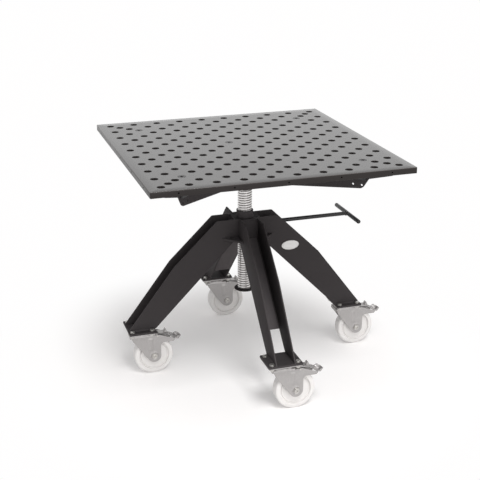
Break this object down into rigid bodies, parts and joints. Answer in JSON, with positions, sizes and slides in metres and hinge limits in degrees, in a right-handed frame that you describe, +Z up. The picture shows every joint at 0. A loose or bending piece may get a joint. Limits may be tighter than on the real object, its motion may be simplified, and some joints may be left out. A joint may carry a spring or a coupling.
{
  "type": "tilting work table",
  "caption": "Square perforated steel work table on a threaded height spindle with a tilting head, four splayed sheet-metal legs and braked swivel casters.",
  "frame": {"origin": "mouth of the table plate's centre bore, which is the centre of the work surface", "axes": "+X to the right along the front edge, towards the clamp handle; +Y to the back; +Z up, out of the bore"},
  "size_m": [1.125, 1.01, 0.935],
  "materials": {
    "plate": "dark phosphated steel, satin, light speckle",
    "black_coat": "black powder coat, satin",
    "spindle": "bright turned steel",
    "blackened": "blackened steel, satin",
    "fasteners": "zinc plated",
    "pad": "turned brass",
    "badge": "bare satin plate with raised rim",
    "zinc": "zinc plated pressed sheet",
    "nylon": "cast white nylon",
    "bush": "turned steel"
  },
  "bodies": {
    "base": {"hub_top_plate": "black_coat", "hub_bottom_plate": "black_coat", "hub_gussets": "black_coat", "hub_walls": "black_coat", "spindle_nut": "black_coat", "clamp_boss": "black_coat", "leg_sides_right": "black_coat", "leg_sides_back": "black_coat", "leg_sides_left": "black_coat", "leg_sides_front": "black_coat", "leg_webs": "black_coat", "foot_plate_right": "black_coat", "foot_plate_back": "black_coat", "foot_plate_left": "black_coat", "foot_plate_front": "black_coat", "foot_bolts": "fasteners", "badge": "badge", "caster_plates": "zinc", "kingpins": "zinc"},
    "lift_stop": {"stop_disc": "blackened"},
    "column": {"spindle": "spindle", "stop_screw": "fasteners", "tilt_head": "black_coat", "lock_stud": "fasteners"},
    "top": {"table_plate": "plate", "plate_screws": "fasteners", "rib_front_left": "black_coat", "rib_front_right": "black_coat", "rib_back_right": "black_coat", "rib_back_left": "black_coat", "rib_nuts": "fasteners", "centre_pad": "black_coat", "tilt_cheek_left": "black_coat", "tilt_cheek_right": "black_coat", "pivot_pin": "fasteners", "pivot_nut": "fasteners"},
    "lock": {"lock_lever": "blackened"},
    "clamp_tip": {"clamp_pad": "pad"},
    "clamp": {"clamp_rod": "blackened", "clamp_handle": "blackened"},
    "swivel_right": {"fork_right": "zinc", "axle_right": "zinc"},
    "roller_right": {"wheel_right": "nylon", "bush_right": "bush"},
    "brake_right": {"pedal_right": "zinc"},
    "swivel_back": {"fork_back": "zinc", "axle_back": "zinc"},
    "roller_back": {"wheel_back": "nylon", "bush_back": "bush"},
    "brake_back": {"pedal_back": "zinc"},
    "swivel_left": {"fork_left": "zinc", "axle_left": "zinc"},
    "roller_left": {"wheel_left": "nylon", "bush_left": "bush"},
    "brake_left": {"pedal_left": "zinc"},
    "swivel_front": {"fork_front": "zinc", "axle_front": "zinc"},
    "roller_front": {"wheel_front": "nylon", "bush_front": "bush"},
    "brake_front": {"pedal_front": "zinc"}
  },
  "joints": [
    {"name": "height_lift", "type": "slide", "parent": "base", "child": "lift_stop", "axis": [0, 0, 1], "range_m": [-0.09, 0.23]},
    {"name": "top_turn", "type": "hinge", "parent": "lift_stop", "child": "column", "pos_m": [0, 0, 0], "axis": [0, 0, 1], "range_deg": [-3240, 8280]},
    {"name": "top_tilt", "type": "hinge", "parent": "column", "child": "top", "pos_m": [0, 0, -0.105], "axis": [1, 0, 0], "range_deg": [0, 45]},
    {"name": "tilt_lock", "type": "hinge", "parent": "column", "child": "lock", "pos_m": [0, 0, -0.15], "axis": [1, 0, 0], "range_deg": [0, 35]},
    {"name": "clamp_feed", "type": "slide", "parent": "base", "child": "clamp_tip", "axis": [1, 0, 0], "range_m": [0, 0.003]},
    {"name": "clamp_turn", "type": "hinge", "parent": "clamp_tip", "child": "clamp", "pos_m": [0, 0, -0.334], "axis": [1, 0, 0], "range_deg": [0, 540]},
    {"name": "caster_turn_right", "type": "hinge", "parent": "base", "child": "swivel_right", "pos_m": [0.45, 0, -0.75], "axis": [0, 0, 1], "continuous": true},
    {"name": "wheel_roll_right", "type": "hinge", "parent": "swivel_right", "child": "roller_right", "pos_m": [0.502, 0, -0.855], "axis": [0, 1, 0], "continuous": true},
    {"name": "brake_press_right", "type": "hinge", "parent": "swivel_right", "child": "brake_right", "pos_m": [0.516, 0, -0.7678], "axis": [0, 1, 0], "range_deg": [0, 7.5]},
    {"name": "caster_turn_back", "type": "hinge", "parent": "base", "child": "swivel_back", "pos_m": [0, 0.45, -0.75], "axis": [0, 0, 1], "continuous": true},
    {"name": "wheel_roll_back", "type": "hinge", "parent": "swivel_back", "child": "roller_back", "pos_m": [0.052, 0.45, -0.855], "axis": [0, 1, 0], "continuous": true},
    {"name": "brake_press_back", "type": "hinge", "parent": "swivel_back", "child": "brake_back", "pos_m": [0.066, 0.45, -0.7678], "axis": [0, 1, 0], "range_deg": [0, 7.5]},
    {"name": "caster_turn_left", "type": "hinge", "parent": "base", "child": "swivel_left", "pos_m": [-0.45, 0, -0.75], "axis": [0, 0, 1], "continuous": true},
    {"name": "wheel_roll_left", "type": "hinge", "parent": "swivel_left", "child": "roller_left", "pos_m": [-0.398, 0, -0.855], "axis": [0, 1, 0], "continuous": true},
    {"name": "brake_press_left", "type": "hinge", "parent": "swivel_left", "child": "brake_left", "pos_m": [-0.384, 0, -0.7678], "axis": [0, 1, 0], "range_deg": [0, 7.5]},
    {"name": "caster_turn_front", "type": "hinge", "parent": "base", "child": "swivel_front", "pos_m": [0, -0.45, -0.75], "axis": [0, 0, 1], "continuous": true},
    {"name": "wheel_roll_front", "type": "hinge", "parent": "swivel_front", "child": "roller_front", "pos_m": [0.052, -0.45, -0.855], "axis": [0, 1, 0], "continuous": true},
    {"name": "brake_press_front", "type": "hinge", "parent": "swivel_front", "child": "brake_front", "pos_m": [0.066, -0.45, -0.7678], "axis": [0, 1, 0], "range_deg": [0, 7.5]}
  ],
  "couplings": [
    {"joint": "height_lift", "follows": "top_turn", "m_per_rad": 0.0015915},
    {"joint": "clamp_feed", "follows": "clamp_turn", "m_per_rad": 0.0003183}
  ]
}
